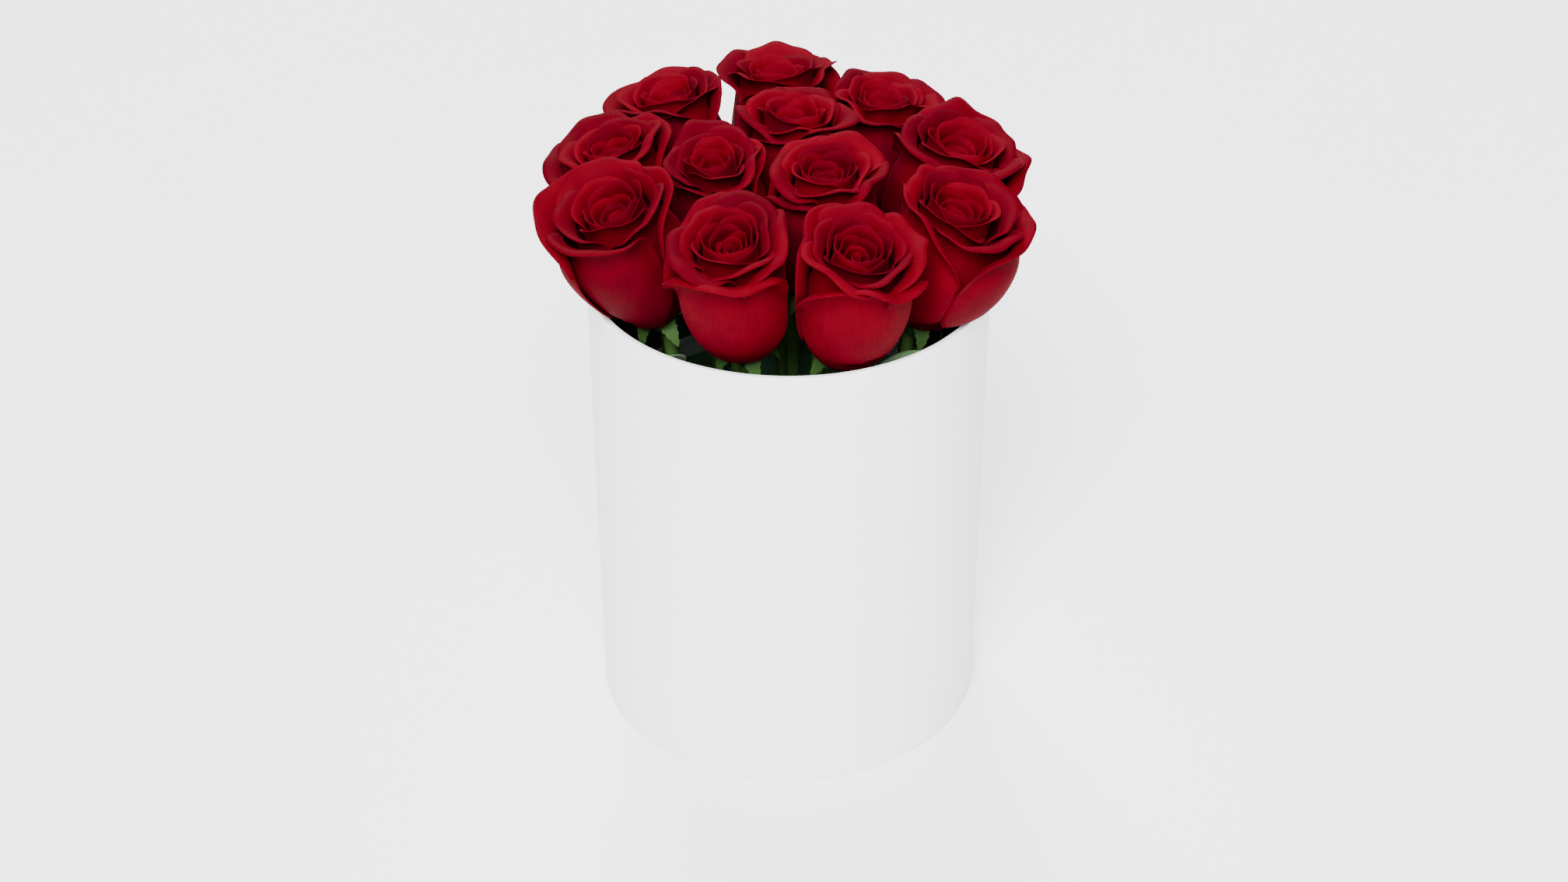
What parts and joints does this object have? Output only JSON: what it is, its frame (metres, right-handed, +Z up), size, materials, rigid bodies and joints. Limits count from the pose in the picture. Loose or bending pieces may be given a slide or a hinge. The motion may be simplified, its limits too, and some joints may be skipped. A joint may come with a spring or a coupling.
{
  "type": "flower box",
  "caption": "Round white paper-covered board box, with a liner and floral foam inside that hold a dome of cut red roses.",
  "frame": {"origin": "centre of the box's underside, on the surface that it stands on", "axes": "+Z up, -Y towards the viewer, +X to the viewer's right"},
  "size_m": [0.1978, 0.2021, 0.2862],
  "materials": {
    "white_paper": "satin",
    "lining_paper": "matte",
    "grey_board": "matte",
    "clear_plastic": "gloss",
    "floral_foam": "matte",
    "outer_petal": "velvet",
    "inner_petal": "velvet",
    "sepal_green": "matte",
    "leaf_green": "satin",
    "stem_green": "satin"
  },
  "bodies": {
    "box": {"wall_tube": "grey_board", "base_disc": "grey_board", "outer_wrap": "white_paper", "underside_paper": "white_paper", "wall_lining": "lining_paper", "floor_lining": "lining_paper"},
    "insert": {"liner": "clear_plastic", "foam_block": "floral_foam"},
    "rose_01": {"rose_01_petals": "outer_petal", "rose_01_heart": "inner_petal", "rose_01_calyx": "sepal_green", "rose_01_stem": "stem_green", "rose_01_leaf": "leaf_green"},
    "rose_02": {"rose_02_petals": "outer_petal", "rose_02_heart": "inner_petal", "rose_02_calyx": "sepal_green", "rose_02_stem": "stem_green", "rose_02_leaf": "leaf_green"},
    "rose_03": {"rose_03_petals": "outer_petal", "rose_03_heart": "inner_petal", "rose_03_calyx": "sepal_green", "rose_03_stem": "stem_green", "rose_03_leaf": "leaf_green"},
    "rose_04": {"rose_04_petals": "outer_petal", "rose_04_heart": "inner_petal", "rose_04_calyx": "sepal_green", "rose_04_stem": "stem_green"},
    "rose_05": {"rose_05_petals": "outer_petal", "rose_05_heart": "inner_petal", "rose_05_calyx": "sepal_green", "rose_05_stem": "stem_green"},
    "rose_06": {"rose_06_petals": "outer_petal", "rose_06_heart": "inner_petal", "rose_06_calyx": "sepal_green", "rose_06_stem": "stem_green"},
    "rose_07": {"rose_07_petals": "outer_petal", "rose_07_heart": "inner_petal", "rose_07_calyx": "sepal_green", "rose_07_stem": "stem_green"},
    "rose_08": {"rose_08_petals": "outer_petal", "rose_08_heart": "inner_petal", "rose_08_calyx": "sepal_green", "rose_08_stem": "stem_green"},
    "rose_09": {"rose_09_petals": "outer_petal", "rose_09_heart": "inner_petal", "rose_09_calyx": "sepal_green", "rose_09_stem": "stem_green"},
    "rose_10": {"rose_10_petals": "outer_petal", "rose_10_heart": "inner_petal", "rose_10_calyx": "sepal_green", "rose_10_stem": "stem_green"},
    "rose_11": {"rose_11_petals": "outer_petal", "rose_11_heart": "inner_petal", "rose_11_calyx": "sepal_green", "rose_11_stem": "stem_green"},
    "rose_12": {"rose_12_petals": "outer_petal", "rose_12_heart": "inner_petal", "rose_12_calyx": "sepal_green", "rose_12_stem": "stem_green"}
  },
  "joints": [
    {"name": "insert_lift", "type": "slide", "parent": "box", "child": "insert", "axis": [0, 0, 1], "range_m": [0, 0.217]},
    {"name": "rose_01_draw", "type": "slide", "parent": "insert", "child": "rose_01", "axis": [-0.0362, -0.0995, 0.9944], "range_m": [0, 0.055]},
    {"name": "rose_02_draw", "type": "slide", "parent": "insert", "child": "rose_02", "axis": [0.0439, -0.1086, 0.9931], "range_m": [0, 0.055]},
    {"name": "rose_03_draw", "type": "slide", "parent": "insert", "child": "rose_03", "axis": [-0.1018, -0.0564, 0.9932], "range_m": [0, 0.055]},
    {"name": "rose_04_draw", "type": "slide", "parent": "insert", "child": "rose_04", "axis": [0.1034, -0.055, 0.9931], "range_m": [0, 0.055]},
    {"name": "rose_05_draw", "type": "slide", "parent": "insert", "child": "rose_05", "axis": [-0.0484, -0.0068, 0.9988], "range_m": [0, 0.055]},
    {"name": "rose_06_draw", "type": "slide", "parent": "insert", "child": "rose_06", "axis": [0.0264, -0.0274, 0.9993], "range_m": [0, 0.055]},
    {"name": "rose_07_draw", "type": "slide", "parent": "insert", "child": "rose_07", "axis": [0.1118, 0.0279, 0.9933], "range_m": [0, 0.055]},
    {"name": "rose_08_draw", "type": "slide", "parent": "insert", "child": "rose_08", "axis": [-0.117, 0.0292, 0.9927], "range_m": [0, 0.055]},
    {"name": "rose_09_draw", "type": "slide", "parent": "insert", "child": "rose_09", "axis": [-0.0737, 0.0911, 0.9931], "range_m": [0, 0.055]},
    {"name": "rose_10_draw", "type": "slide", "parent": "insert", "child": "rose_10", "axis": [0.0039, 0.0447, 0.999], "range_m": [0, 0.055]},
    {"name": "rose_11_draw", "type": "slide", "parent": "insert", "child": "rose_11", "axis": [-0.006, 0.1137, 0.9935], "range_m": [0, 0.055]},
    {"name": "rose_12_draw", "type": "slide", "parent": "insert", "child": "rose_12", "axis": [0.0638, 0.0946, 0.9935], "range_m": [0, 0.055]}
  ]
}
